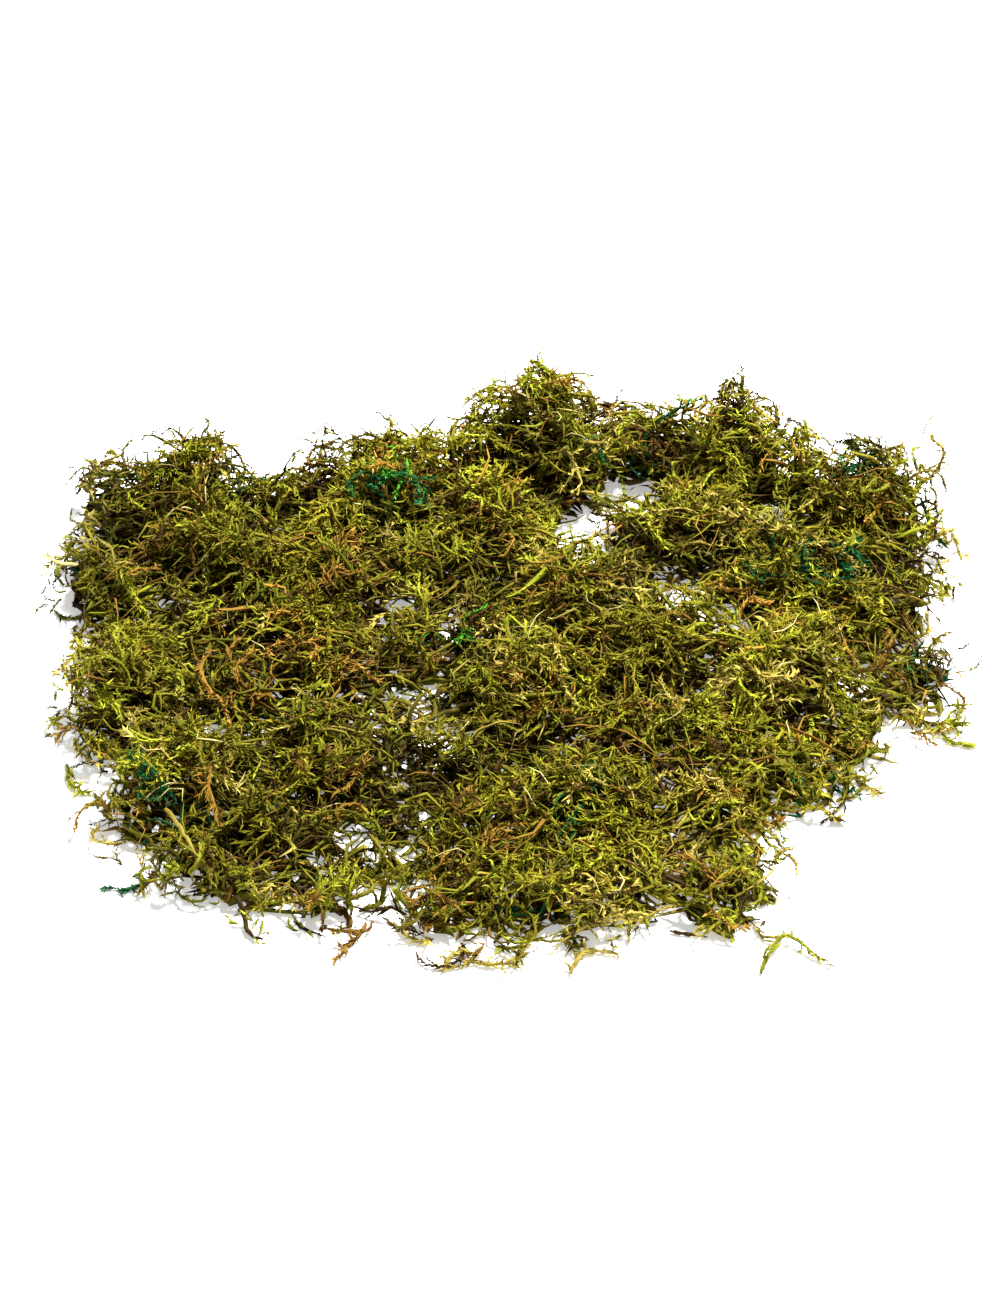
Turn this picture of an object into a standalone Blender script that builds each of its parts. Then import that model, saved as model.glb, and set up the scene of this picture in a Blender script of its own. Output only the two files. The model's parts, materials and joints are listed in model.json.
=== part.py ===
"""A clump of dried sheet moss: packed tufts that make a loose mat, with loose stems and sprigs on and round it.

Metres, +Z up. The clump rests on z = 0, and the origin is under the middle of its box.
The places below are in millimetres, with x along the clump and y from its low front to its tall back.
"""

import math
from collections import namedtuple

import bmesh
import bpy
from mathutils import Vector
from mathutils.bvhtree import BVHTree

MM = 0.001
BOX_MIDDLE = (0.94, -12.92)  # the middle of the layout's box, which goes over the origin
GAP = 0.5  # between pieces that touch
ABOVE_ALL = 200.0  # higher than any piece

# A tuft is a dome on a star-shaped outline.
SPOKES = 20
OUTLINE_WAVES = ((3, 0.09), (5, 0.06), (7, 0.04))  # how many round the outline, and how deep
CROWN_WAVES = ((2, 0.08), (3, 0.07))
PHASE_STEP = 1.7  # sets each tuft's waves apart from the last one's
CROWN_PHASE = 1.0  # sets a tuft's crown waves apart from its outline's
# Its rings from foot to crown: how far out, and how high.
TUFT_RINGS = ((0.9, 0.0), (1.0, 0.22), (0.93, 0.55), (0.7, 0.84), (0.36, 0.97))

# A sprig is a tapered tube along a smooth curve.
SPRIG_SIDES_RESOLUTION = 1
SPRIG_STEPS = 3  # points in each span between two of its places
SPRIG_TIP = 0.35  # how thick its ends are, against its middle
RESTING_CLEARANCE = 0.6  # between a sprig and the tuft under it
RESTING_SPAN = 2  # how many points each way must clear what lies under a sprig's point

Tuft = namedtuple("Tuft", "name x y reach_x reach_y height finish")
TUFTS = (
    Tuft("tuft_back_left_outer", -107, 58, 15, 16, 25, "moss_brown"),
    Tuft("tuft_back_left_peak", -88, 61, 16, 18, 29, "moss_dark_green"),
    Tuft("tuft_back_left_saddle", -63, 60, 20, 18, 13, "moss_olive"),
    Tuft("tuft_back_mid_left", -28, 65, 26, 18, 27, "moss_olive"),
    Tuft("tuft_back_centre", 12, 83, 19, 18, 37, "moss_golden"),
    Tuft("tuft_back_mid_right", 37, 88, 19, 14, 25, "moss_brown"),
    Tuft("tuft_back_right", 66, 80, 21, 18, 33, "moss_brown"),
    Tuft("tuft_far_back_right", 102, 58, 16, 18, 29, "moss_dark_green"),
    Tuft("tuft_left_end", -107, 26, 19, 22, 18, "moss_golden"),
    Tuft("tuft_left_rear", -79, 27, 24, 24, 19, "moss_brown"),
    Tuft("tuft_mid_left_rear", -49, 26, 23, 25, 17, "moss_olive"),
    Tuft("tuft_centre_rear", -8, 45, 28, 26, 18, "moss_olive"),
    Tuft("tuft_right_whorl", 54, 46, 28, 22, 18, "moss_golden"),
    Tuft("tuft_right_rear", 85, 24, 24, 25, 20, "moss_dark_green"),
    Tuft("tuft_right_end", 109, 23, 15, 20, 14, "moss_olive"),
    Tuft("tuft_centre", 21, 16, 27, 24, 18, "moss_golden"),
    Tuft("tuft_left_flank", -96, -22, 22, 27, 18, "moss_olive"),
    Tuft("tuft_inner_left", -64, -14, 22, 24, 19, "moss_brown"),
    Tuft("tuft_inner_mid", -31, -14, 22, 22, 15, "moss_olive"),
    Tuft("tuft_inner_centre", 5, -22, 25, 24, 20, "moss_golden"),
    Tuft("tuft_inner_right", 43, -14, 25, 24, 19, "moss_olive"),
    Tuft("tuft_right_flank", 77, -18, 22, 22, 20, "moss_golden"),
    Tuft("tuft_right_outlier", 110, -19, 14, 17, 14, "moss_brown"),
    Tuft("tuft_front_left", -77, -67, 22, 26, 20, "moss_olive"),
    Tuft("tuft_front_left_inner", -39, -53, 25, 25, 18, "moss_brown"),
    Tuft("tuft_front_centre", 0, -65, 25, 24, 18, "moss_olive"),
    Tuft("tuft_front_right_inner", 37, -55, 24, 23, 16, "moss_golden"),
    Tuft("tuft_front_right", 71, -55, 20, 18, 13, "moss_olive"),
    Tuft("tuft_front_left_foot", -53, -93, 21, 15, 13, "moss_dark_green"),
    Tuft("tuft_front_fringe_left", -7, -103, 18, 17, 11, "moss_olive"),
    Tuft("tuft_front_fringe_middle", 25, -97, 19, 19, 11, "moss_golden"),
    Tuft("tuft_front_fringe_right", 56, -93, 18, 19, 10, "moss_golden"),
)

Bare = namedtuple("Bare", "x y reach_x reach_y")
BARE_PATCHES = (  # where the ground shows between the tufts
    Bare(33, 69, 12, 8),
    Bare(53, 23, 6, 4),
    Bare(-30, 23, 7, 4),
    Bare(-27, 8, 4, 4),
    Bare(84, 58, 6, 4),
    Bare(103, 40, 6, 3),
    Bare(97, -14, 4, 8),
)

Sprig = namedtuple("Sprig", "name thickness places finish")
SPRIGS = (  # places are (x, y, height over what lies under it)
    Sprig(
        "sprig_tall_back_right", 1.3,
        ((121, 61, 17), (121, 61, 26), (123, 61, 34), (126, 61, 38)), "straw",
    ),
    Sprig(
        "sprig_far_right_spray", 1.2,
        ((120, 54, 15), (125, 54, 21), (127, 54, 28), (123, 54, 33)), "stem_tan",
    ),
    Sprig(
        "sprig_right_hanging", 1.3,
        ((121, 48, 16), (123, 46, 11), (126, 44, 6), (128, 42, 4)), "moss_dark_green",
    ),
    Sprig("sprig_right_feather", 1.8, ((123, 30, 6), (127, 31, 8), (133, 32, 7)), "moss_golden"),
    Sprig("straw_right_end", 1.3, ((124, 22, 5), (127, 24, 6), (131, 26, 5)), "straw"),
    Sprig("straw_left_end", 1.5, ((-118, 17, 0), (-124, 16, 2), (-131, 16, 8)), "straw"),
    Sprig(
        "stem_dark_back_left", 1.0,
        ((-66, 57, 0), (-63, 59, 3), (-61, 60, 7), (-59, 60, 10)), "stem_dark",
    ),
    Sprig(
        "stem_tan_curved", 1.8,
        ((-78, -19, 0), (-80, -27, 0), (-77, -37, 0), (-72, -48, 0), (-70, -55, 0)), "stem_tan",
    ),
    Sprig("stem_tan_short", 1.8, ((-73, -76, 0), (-73, -82, 0), (-70, -92, 0)), "stem_tan"),
    Sprig("straw_front_left", 1.4, ((-84, -86, 0), (-80, -92, 0), (-75, -99, 0)), "straw"),
    Sprig(
        "sprig_grey_green_curl", 1.3,
        ((-86, -93, 0), (-90, -97, 0), (-93, -99, 0), (-99, -98, 0)), "moss_dark_green",
    ),
    Sprig(
        "root_brown_hooked", 2.0,
        ((-65, -107, 0), (-63, -111, 0), (-61, -116, 0), (-58, -117, 0)), "stem_dark",
    ),
    Sprig("needle_dark", 0.9, ((-51, -110, 0), (-48, -113, 0), (-42, -116, 0)), "stem_dark"),
    Sprig(
        "sprig_brown_hooked", 1.6,
        ((-40, -105, 0), (-38, -108, 0), (-37, -113, 0), (-41, -112, 0)), "stem_dark",
    ),
    Sprig(
        "sprig_green_forked", 2.0,
        ((-35, -107, 0), (-31, -105, 0), (-27, -101, 0), (-24, -99, 0)), "moss_olive",
    ),
    Sprig(
        "sprig_tan_loose", 1.7,
        ((-33, -111, 0), (-35, -116, 0), (-38, -120, 0), (-40, -124, 0)), "stem_tan",
    ),
    Sprig("sprig_front_left_twin", 1.6, ((-14, -128, 0), (-12, -123, 0), (-9, -121, 0)), "moss_golden"),
    Sprig(
        "sprig_front_right_twin", 2.0,
        ((-8, -125, 0), (-2, -126, 0), (3, -125, 0), (6, -120, 0)), "moss_golden",
    ),
    Sprig(
        "sprig_front_tan", 1.9,
        ((17, -129, 0), (19, -124, 0), (22, -121, 0), (28, -122, 0)), "stem_tan",
    ),
    Sprig(
        "sprig_arching_right", 1.7,
        ((63, -129, 0), (66, -122, 1), (70, -117, 2), (75, -121, 1), (80, -126, 0)), "moss_golden",
    ),
    Sprig("bark_sliver", 1.4, ((42, -114, 0), (46, -115, 0), (51, -116, 0)), "bark"),
    Sprig("stem_reddish", 1.1, ((71, -50, 0), (77, -53, 0), (85, -58, 0), (93, -63, 1)), "stem_tan"),
    Sprig("straw_right_front", 1.3, ((96, -47, 0), (101, -48, 0), (106, -51, 0)), "straw"),
    Sprig("sprig_right_small", 1.5, ((93, -57, 0), (96, -60, 0), (99, -62, 0)), "stem_tan"),
    Sprig("bud_brown", 2.6, ((85, -73, 0), (87, -73, 0), (89, -74, 0)), "bark"),
    Sprig(
        "sprig_yellow_left", 2.0,
        ((-114, -51, 0), (-113, -57, 0), (-110, -61, 0), (-107, -62, 0)), "moss_golden",
    ),
    Sprig("sprig_far_right_low", 1.5, ((118, -38, 0), (120, -41, 0), (125, -43, 0)), "moss_golden"),
)

Finish = namedtuple("Finish", "color roughness")
FINISHES = {
    "moss_olive": Finish((0.16, 0.17, 0.025), 0.9),
    "moss_golden": Finish((0.32, 0.27, 0.06), 0.9),
    "moss_brown": Finish((0.15, 0.10, 0.025), 0.9),
    "moss_dark_green": Finish((0.03, 0.10, 0.03), 0.9),
    "stem_tan": Finish((0.38, 0.26, 0.11), 0.75),
    "stem_dark": Finish((0.07, 0.045, 0.02), 0.8),
    "straw": Finish((0.52, 0.46, 0.22), 0.7),
    "bark": Finish((0.13, 0.07, 0.03), 0.85),
}


def in_frame(x, y, z):
    """A layout place in millimetres as a point of the model's frame in metres."""
    return Vector((x - BOX_MIDDLE[0], y - BOX_MIDDLE[1], z)) * MM


def clear_scene():
    for old in list(bpy.data.objects):
        bpy.data.objects.remove(old, do_unlink=True)


def make_finishes():
    made = {}
    for name, finish in FINISHES.items():
        material = bpy.data.materials.new(name)
        material.use_nodes = True
        shader = material.node_tree.nodes["Principled BSDF"]
        shader.inputs["Base Color"].default_value = (*finish.color, 1.0)
        shader.inputs["Roughness"].default_value = finish.roughness
        shader.inputs["Metallic"].default_value = 0.0
        made[name] = material
    return made


def waves(angle, phase, parts):
    """A smooth wobble round the circle, whose phase sets it apart from its neighbours'."""
    return sum(depth * math.sin(count * angle + phase * count * count) for count, depth in parts)


def reach_to_bare_patch(x, y, along, patch):
    """How far a ray from (x, y) goes before it meets the bare patch, or None if it misses it."""
    px = (x - patch.x) / patch.reach_x
    py = (y - patch.y) / patch.reach_y
    dx = along[0] / patch.reach_x
    dy = along[1] / patch.reach_y
    a = dx * dx + dy * dy
    half_b = px * dx + py * dy
    c = px * px + py * py - 1.0
    inside_root = half_b * half_b - a * c
    if inside_root <= 0.0 or half_b >= 0.0:
        return None
    return (-half_b - math.sqrt(inside_root)) / a


def tuft_reach(tuft, phase, angle):
    """How far the tuft reaches at this angle: its own wavy outline, cut where it meets its neighbours."""
    along = (math.cos(angle), math.sin(angle))
    reach = 1.0 / math.hypot(along[0] / tuft.reach_x, along[1] / tuft.reach_y)
    reach *= 1.0 + waves(angle, phase, OUTLINE_WAVES)
    for other in TUFTS:
        if other.name == tuft.name:
            continue
        dx = other.x - tuft.x
        dy = other.y - tuft.y
        apart = math.hypot(dx, dy)
        own_size = tuft.reach_x * tuft.reach_y
        other_size = other.reach_x * other.reach_y
        border = 0.5 * apart + 0.5 * (own_size - other_size) / apart - 0.5 * GAP
        towards = (along[0] * dx + along[1] * dy) / apart
        if towards > 0.0:
            reach = min(reach, border / towards)
    for patch in BARE_PATCHES:
        limit = reach_to_bare_patch(tuft.x, tuft.y, along, patch)
        if limit is not None:
            reach = min(reach, limit)
    return reach


def make_tuft(tuft, phase, material):
    """One closed dome: rings of points from its foot to its crown, then a point on top."""
    shape = bmesh.new()
    rings = []
    for out, up in TUFT_RINGS:
        ring = []
        for spoke in range(SPOKES):
            angle = math.tau * spoke / SPOKES
            reach = out * tuft_reach(tuft, phase, angle)
            height = up * tuft.height * (1.0 + waves(angle, phase + CROWN_PHASE, CROWN_WAVES))
            place = in_frame(tuft.x + reach * math.cos(angle), tuft.y + reach * math.sin(angle), height)
            ring.append(shape.verts.new(place))
        rings.append(ring)
    crown = shape.verts.new(in_frame(tuft.x, tuft.y, tuft.height))
    shape.faces.new(reversed(rings[0]))
    for lower, upper in zip(rings, rings[1:]):
        for spoke in range(SPOKES):
            after = (spoke + 1) % SPOKES
            shape.faces.new((lower[spoke], lower[after], upper[after], upper[spoke]))
    for spoke in range(SPOKES):
        shape.faces.new((rings[-1][spoke], rings[-1][(spoke + 1) % SPOKES], crown))
    mesh = bpy.data.meshes.new(tuft.name)
    shape.to_mesh(mesh)
    shape.free()
    mesh.materials.append(material)
    made = bpy.data.objects.new(tuft.name, mesh)
    bpy.context.scene.collection.objects.link(made)
    return made


def smooth_route(places):
    """Points along a Catmull-Rom curve through the places."""
    ends = [places[0], *places, places[-1]]
    route = []
    for span in range(len(places) - 1):
        before, start, end, after = (Vector(place) for place in ends[span : span + 4])
        for step in range(SPRIG_STEPS):
            t = step / SPRIG_STEPS
            bend = 2 * before - 5 * start + 4 * end - after
            twist = 3 * start - before - 3 * end + after
            route.append(0.5 * (2 * start + (end - before) * t + bend * t * t + twist * t * t * t))
    return [*route, Vector(places[-1])]


def ground_under(tree, x, y, half_width):
    """The highest surface, in millimetres, under a sprig at this place."""
    highest = 0.0
    for dx, dy in ((0, 0), (1, 0), (-1, 0), (0, 1), (0, -1)):
        above = in_frame(x + dx * half_width, y + dy * half_width, ABOVE_ALL)
        hit = tree.ray_cast(above, Vector((0, 0, -1)))[0]
        if hit is not None:
            highest = max(highest, hit.z / MM + RESTING_CLEARANCE)
    return highest


def make_sprig(sprig, tree, material):
    """A tapered tube that rests on the tufts or on the ground."""
    route = smooth_route(sprig.places)
    half = 0.5 * sprig.thickness
    under = [ground_under(tree, point.x, point.y, 2.0 * half) for point in route]
    curve = bpy.data.curves.new(sprig.name, "CURVE")
    curve.dimensions = "3D"
    curve.bevel_depth = half * MM
    curve.bevel_resolution = SPRIG_SIDES_RESOLUTION
    curve.use_fill_caps = True
    spline = curve.splines.new("POLY")
    spline.points.add(len(route) - 1)
    last = len(route) - 1
    for index, point in enumerate(route):
        nearby = max(under[max(index - RESTING_SPAN, 0) : index + RESTING_SPAN + 1])
        place = in_frame(point.x, point.y, nearby + half + point.z)
        spline.points[index].co = (*place, 1.0)
        middle = math.sin(math.pi * index / last)
        spline.points[index].radius = SPRIG_TIP + (1.0 - SPRIG_TIP) * middle
    curve.materials.append(material)
    made = bpy.data.objects.new(sprig.name, curve)
    bpy.context.scene.collection.objects.link(made)
    return made


def tufts_surface(tufts):
    """One search tree over every tuft's faces."""
    points = []
    faces = []
    for tuft in tufts:
        first = len(points)
        points.extend(vertex.co.copy() for vertex in tuft.data.vertices)
        faces.extend([first + index for index in face.vertices] for face in tuft.data.polygons)
    return BVHTree.FromPolygons(points, faces)


def main():
    clear_scene()
    finishes = make_finishes()
    tufts = [make_tuft(tuft, PHASE_STEP * order, finishes[tuft.finish]) for order, tuft in enumerate(TUFTS)]
    tree = tufts_surface(tufts)
    for sprig in SPRIGS:
        make_sprig(sprig, tree, finishes[sprig.finish])


main()
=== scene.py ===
"""A clump of dried sheet moss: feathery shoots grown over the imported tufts, with loose sprigs."""

import json
import math
from collections import namedtuple

import bpy
import numpy as np
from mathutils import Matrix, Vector
from mathutils.bvhtree import BVHTree


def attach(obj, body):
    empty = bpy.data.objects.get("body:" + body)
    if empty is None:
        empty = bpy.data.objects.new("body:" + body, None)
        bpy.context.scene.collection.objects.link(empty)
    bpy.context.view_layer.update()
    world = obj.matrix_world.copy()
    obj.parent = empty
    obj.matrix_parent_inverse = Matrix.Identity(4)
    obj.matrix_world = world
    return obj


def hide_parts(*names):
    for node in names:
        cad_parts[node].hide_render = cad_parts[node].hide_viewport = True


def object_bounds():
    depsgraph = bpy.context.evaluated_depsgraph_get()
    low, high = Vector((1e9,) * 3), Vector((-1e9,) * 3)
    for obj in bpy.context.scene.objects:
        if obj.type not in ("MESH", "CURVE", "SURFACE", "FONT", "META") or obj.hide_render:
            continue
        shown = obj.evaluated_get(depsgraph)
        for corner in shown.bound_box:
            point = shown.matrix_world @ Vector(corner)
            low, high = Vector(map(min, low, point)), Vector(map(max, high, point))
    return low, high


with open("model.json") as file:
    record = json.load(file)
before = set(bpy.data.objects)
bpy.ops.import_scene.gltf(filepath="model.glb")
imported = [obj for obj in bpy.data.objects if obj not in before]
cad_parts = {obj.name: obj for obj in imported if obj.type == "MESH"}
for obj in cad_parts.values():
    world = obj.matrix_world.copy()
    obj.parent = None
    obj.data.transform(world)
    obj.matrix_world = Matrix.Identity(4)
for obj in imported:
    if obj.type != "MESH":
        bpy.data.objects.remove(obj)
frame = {"nodes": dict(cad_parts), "record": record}
cad_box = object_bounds()

MM = 0.001
SEED = 11
BOX_MIDDLE = (0.94, -12.92)  # part.py's layout places, in millimetres, are measured from here

# ---------------------------------------------------------------- the mat's outer surface

CELL = 1.5 * MM
MARGIN = 24 * MM
BRIDGE = 3.0 * MM  # gaps between tufts up to twice this wide are grown over
SOFTEN = 2.2 * MM

Spot = namedtuple("Spot", "x y reach height", defaults=(0,))
BRIDGES = (  # wider gaps between tufts, and low edges, that are grown over too, in millimetres
    Spot(-20, -36, 7, 10),
    Spot(-12, -86, 9, 9),
    Spot(-24, -85, 10, 10),
    Spot(-30, -73, 8, 9),
    Spot(-15, 24, 9, 15),
    Spot(-19, 10, 6, 13),
    Spot(-58, -38, 7, 9),
    Spot(-67, -38, 7, 12),
    Spot(-111, 60, 7, 33),
    Spot(-50, 70, 8, 18),
    Spot(-42, 72, 8, 23),
    Spot(-66, 66, 8, 16),
    Spot(-115, 6, 5, 11),
    Spot(-103, -47, 7, 10),
    Spot(-100, 2, 8, 12),
    Spot(-80, 3, 8, 13),
    Spot(-60, 5, 8, 13),
    Spot(-96, -77, 8, 10),
    Spot(-82, -90, 8, 9),
    Spot(-71, -95, 10, 10),
    Spot(-65, -101, 8, 9),
    Spot(-43, -107, 8, 9),
    Spot(-60, -106, 7, 8),
    Spot(-34, -95, 7, 8),
    Spot(-27, 26, 7, 9),
    Spot(-108, -40, 7, 10),
    Spot(-8, 79, 8, 20),
    Spot(19, 77, 10, 17),
    Spot(22, 68, 9, 12),
    Spot(60, 83, 8, 33),
    Spot(34, 90, 8, 28),
    Spot(42, 83, 10, 20),
    Spot(56, -74, 8, 10),
    Spot(38, -78, 7, 9),
    Spot(26, 81, 9, 18),
    Spot(45, 78, 6, 18),
    Spot(60, 22, 6, 12),
    Spot(50, 28, 5, 11),
    Spot(-4, 16, 8, 14),
    Spot(90, 60, 7, 16),
    Spot(89, 68, 6, 25),
    Spot(113, 52, 9, 19),
    Spot(118, 58, 7, 26),
    Spot(119, -13, 7, 12),
    Spot(119, 44, 6, 14),
    Spot(90, -55, 6, 7),
    Spot(95, 2, 6, 13),
    Spot(114, 6, 6, 9),
    Spot(103, -5, 7, 10),
    Spot(94, -33, 8, 9),
    Spot(96, -42, 7, 7),
    Spot(113, -31, 8, 10),
    Spot(62, -35, 7, 12),
    Spot(34, -107, 7, 8),
    Spot(44, -106, 6, 8),
    Spot(-13, -111, 9, 9),
    Spot(3, -115, 7, 7),
    Spot(16, -110, 7, 8),
    Spot(53, -110, 7, 8),
    Spot(57, -111, 8, 8),
)
CLEARINGS = (  # where the shoots stop short of the plain tufts' edges
    Spot(-120, -19, 7),
    Spot(-127, 26, 6),
    Spot(123, 21, 4),
    Spot(125, -21, 5),
    Spot(76, -84, 10),
    Spot(77, -95, 8),
    Spot(41, 68, 6),
    Spot(-117, -31, 5),
    Spot(-125, 10, 6),
    Spot(-55, -113, 5),
    Spot(-105, -67, 9),
    Spot(-95, -93, 5),
    Spot(-20, -102, 4),
)
CAPS = (  # where the shoots lie lower than the plain tufts
    Spot(-74, 64, 8, 12),
    Spot(-88, 62, 14, 24),
    Spot(-30, 70, 12, 22),
    Spot(-5, 90, 7, 22),
    Spot(98, 68, 7, 18),
    Spot(44, 58, 7, 11),
)
LARGEST_HOLE = 12 * MM
SPILL = 1.5 * MM  # how far the shoots' bulk stands out from the plain tufts' sides
SETTLE = 0.86  # how high the shoots' bulk comes against the plain tufts' tops, which the tips reach
LUMP_SIZE = 4.4 * MM
LUMP_HEIGHT = 4.9 * MM
LUMP_CAP = 0.8  # lumps are cut off above this many deviations
LUMP_SINK = 0.35
FLOW_SIZE = 8 * MM  # how broad the stretches are where the stems run one way
EDGE_SOFTNESS = 3 * MM
RIM_LEVEL = 0.88  # the rim is where the softened cover is below this
PATCH_SIZE = 5.5 * MM  # how broad the patches of one colour or brightness are
HOLLOW_PAINTED_SHADE = 1.8  # painted shade: how much brighter the lumps are than the hollows between them, where shade falls
TONE_VARIETY = 0.9  # in steps of shade
Tone = namedtuple("Tone", "x y reach shift")
PAINTED_LIGHT_AND_SHADE = (  # painted light and shade: places painted darker than the rest as shade, and brighter as light, in steps of shade
    Tone(-97, 58, 32, -1.7),
    Tone(-85, 0, 35, -0.5),
    Tone(-35, 70, 20, -0.4),
    Tone(12, 83, 20, 0.9),
    Tone(66, 80, 18, 1.0),
    Tone(85, -10, 30, 1.1),
    Tone(75, -60, 30, 1.4),
    Tone(-75, -70, 30, 0.5),
    Tone(-5, -72, 20, -0.8),
    Tone(25, -105, 40, 1.6),
)

Mat = namedtuple("Mat", "low height cover owner flow outside inside rim outward clump hue tone")


def shifted(field, rows, columns):
    """The field moved by whole cells, wrapping round at the grid's edges."""
    return np.roll(np.roll(field, rows, axis=0), columns, axis=1)


def disc(reach):
    """The grid steps within a distance."""
    cells = int(reach / CELL)
    steps = range(-cells, cells + 1)
    return [(i, j) for i in steps for j in steps if math.hypot(i, j) * CELL <= reach]


def highest_near(field, reach):
    """Each cell takes the highest value within reach."""
    return np.max([shifted(field, i, j) for i, j in disc(reach)], axis=0)


def lowest_near(field, reach):
    """Each cell takes the lowest value within reach."""
    return np.min([shifted(field, i, j) for i, j in disc(reach)], axis=0)


def blurred(field, reach):
    """A Gaussian blur along each axis in turn."""
    cells = int(3 * reach / CELL)
    weights = np.exp(-0.5 * (np.arange(-cells, cells + 1) * CELL / reach) ** 2)
    weights /= weights.sum()
    for axis in (0, 1):
        field = sum(w * np.roll(field, k - cells, axis=axis) for k, w in enumerate(weights))
    return field


def filled_from_neighbours(owner, reach):
    """Cells with no tuft take the tuft of the nearest cell that has one."""
    for _ in range(int(reach / CELL)):
        for i, j in ((0, 1), (1, 0), (0, -1), (-1, 0)):
            beside = shifted(owner, i, j)
            owner = np.where(owner < 0, beside, owner)
    return owner


def even_field(field):
    """The field's ranks, spread evenly from 0 to 1."""
    return np.argsort(np.argsort(field, axis=None)).reshape(field.shape) / field.size


def survey_mat(tufts, rng):
    """Reads the tufts' tops on an even grid, and bridges the narrow gaps between them."""
    low = np.array(cad_box[0])[:2] - MARGIN
    high = np.array(cad_box[1])[:2] + MARGIN
    counts = np.ceil((high - low) / CELL).astype(int)
    points = []
    faces = []
    face_owner = []
    for order, tuft in enumerate(tufts):
        first = len(points)
        points.extend(vertex.co.copy() for vertex in tuft.data.vertices)
        faces.extend([first + index for index in face.vertices] for face in tuft.data.polygons)
        face_owner.extend([order] * len(tuft.data.polygons))
    tree = BVHTree.FromPolygons(points, faces)
    height = np.zeros(counts)
    owner = np.full(counts, -1)
    down = Vector((0, 0, -1))
    for i in range(counts[0]):
        for j in range(counts[1]):
            above = Vector((low[0] + i * CELL, low[1] + j * CELL, 1.0))
            hit, _, face, _ = tree.ray_cast(above, down)
            if hit is not None:
                height[i, j] = hit.z
                owner[i, j] = face_owner[face]
    cover = (owner >= 0).astype(float)
    x = (low[0] + np.arange(counts[0]) * CELL)[:, None]
    y = (low[1] + np.arange(counts[1]) * CELL)[None, :]

    def within(spot):
        middle = layout_place(spot.x, spot.y)
        return np.hypot(x - middle[0], y - middle[1]) < spot.reach * MM

    for spot in BRIDGES:
        cover = np.maximum(cover, within(spot))
        height = np.maximum(height, within(spot) * spot.height * MM)
    cover = lowest_near(highest_near(cover, BRIDGE), BRIDGE)
    for spot in CLEARINGS:
        cover = cover * ~within(spot)
    for spot in CAPS:
        height = np.where(within(spot), np.minimum(height, spot.height * MM), height)
    height = lowest_near(highest_near(height, BRIDGE + SPILL), BRIDGE) * SETTLE
    height = blurred(height, SOFTEN)
    lumps = blurred(rng.normal(size=height.shape), LUMP_SIZE)
    clump = even_field(lumps)
    lumps = np.minimum(lumps / lumps.std(), LUMP_CAP) - LUMP_SINK
    height = np.maximum(height + LUMP_HEIGHT * lumps * cover, 0)
    spread = rng.normal(size=(2, *counts))
    across = blurred(spread[0], FLOW_SIZE)
    along = blurred(spread[1], FLOW_SIZE)
    flow = np.stack([across, along]) / np.hypot(across, along)
    owner = filled_from_neighbours(owner, MARGIN)
    filled = lowest_near(highest_near(cover, LARGEST_HOLE), LARGEST_HOLE)
    soft = blurred(filled, EDGE_SOFTNESS)
    outward = -np.stack(np.gradient(soft))
    outward /= np.maximum(np.hypot(*outward), 1e-6)
    rim = cover * (soft < RIM_LEVEL)
    outside = distance_outside(cover)
    inside = distance_outside(1 - cover)
    hue = even_field(blurred(rng.normal(size=height.shape), PATCH_SIZE))
    tone = blurred(rng.normal(size=height.shape), PATCH_SIZE)
    # the moss's own random tone, plus painted shade that darkens the hollows between the lumps
    tone = tone * TONE_VARIETY / tone.std() + HOLLOW_PAINTED_SHADE * (clump - 0.5)
    # painted shade and painted light, place by place
    for place in PAINTED_LIGHT_AND_SHADE:
        middle = layout_place(place.x, place.y)
        apart = np.hypot(x - middle[0], y - middle[1]) / (place.reach * MM)
        tone = tone + place.shift * np.exp(-apart * apart)
    return Mat(low, height, cover, owner, flow, outside, inside, rim, outward, clump, hue, tone)


def distance_outside(cover):
    """How far each cell lies from the nearest covered one."""
    distance = np.zeros(cover.shape)
    grown = cover
    for _ in range(int(MARGIN / CELL)):
        distance += (1 - grown) * CELL
        grown = highest_near(grown, 1.1 * CELL)
    return distance


def cell_of(mat, x, y):
    i = np.clip((x - mat.low[0]) / CELL, 0, mat.height.shape[0] - 1.001)
    j = np.clip((y - mat.low[1]) / CELL, 0, mat.height.shape[1] - 1.001)
    return i, j


def read(mat, field, x, y):
    """The field's value between grid points."""
    i, j = cell_of(mat, x, y)
    a = i.astype(int)
    b = j.astype(int)
    u = i - a
    v = j - b
    near = field[a, b] * (1 - u) + field[a + 1, b] * u
    far = field[a, b + 1] * (1 - u) + field[a + 1, b + 1] * u
    return near * (1 - v) + far * v


# ---------------------------------------------------------------- colours of the shoots

FAMILIES = ("dark_brown", "tan", "olive", "yellow_green", "golden", "dark_green", "bright_green", "straw")
SHADES = 8
ROOT_COLORS = {  # as seen on a screen, 0 to 255
    "dark_brown": (38, 27, 6),
    "tan": (84, 58, 14),
    "olive": (64, 58, 8),
    "yellow_green": (76, 78, 6),
    "golden": (98, 80, 14),
    "dark_green": (12, 44, 22),
    "bright_green": (26, 82, 18),
    "straw": (146, 128, 66),
}
TIP_COLORS = {
    "dark_brown": (84, 63, 18),
    "tan": (158, 122, 46),
    "olive": (142, 134, 32),
    "yellow_green": (158, 160, 42),
    "golden": (192, 176, 88),
    "dark_green": (34, 92, 46),
    "bright_green": (84, 160, 44),
    "straw": (228, 216, 152),
}
SURFACE_SHARES = (0.10, 0.10, 0.40, 0.22, 0.17, 0.01, 0.0, 0.0)
DEEP_SHARES = (0.42, 0.14, 0.38, 0.03, 0.02, 0.01, 0.0, 0.0)

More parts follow.
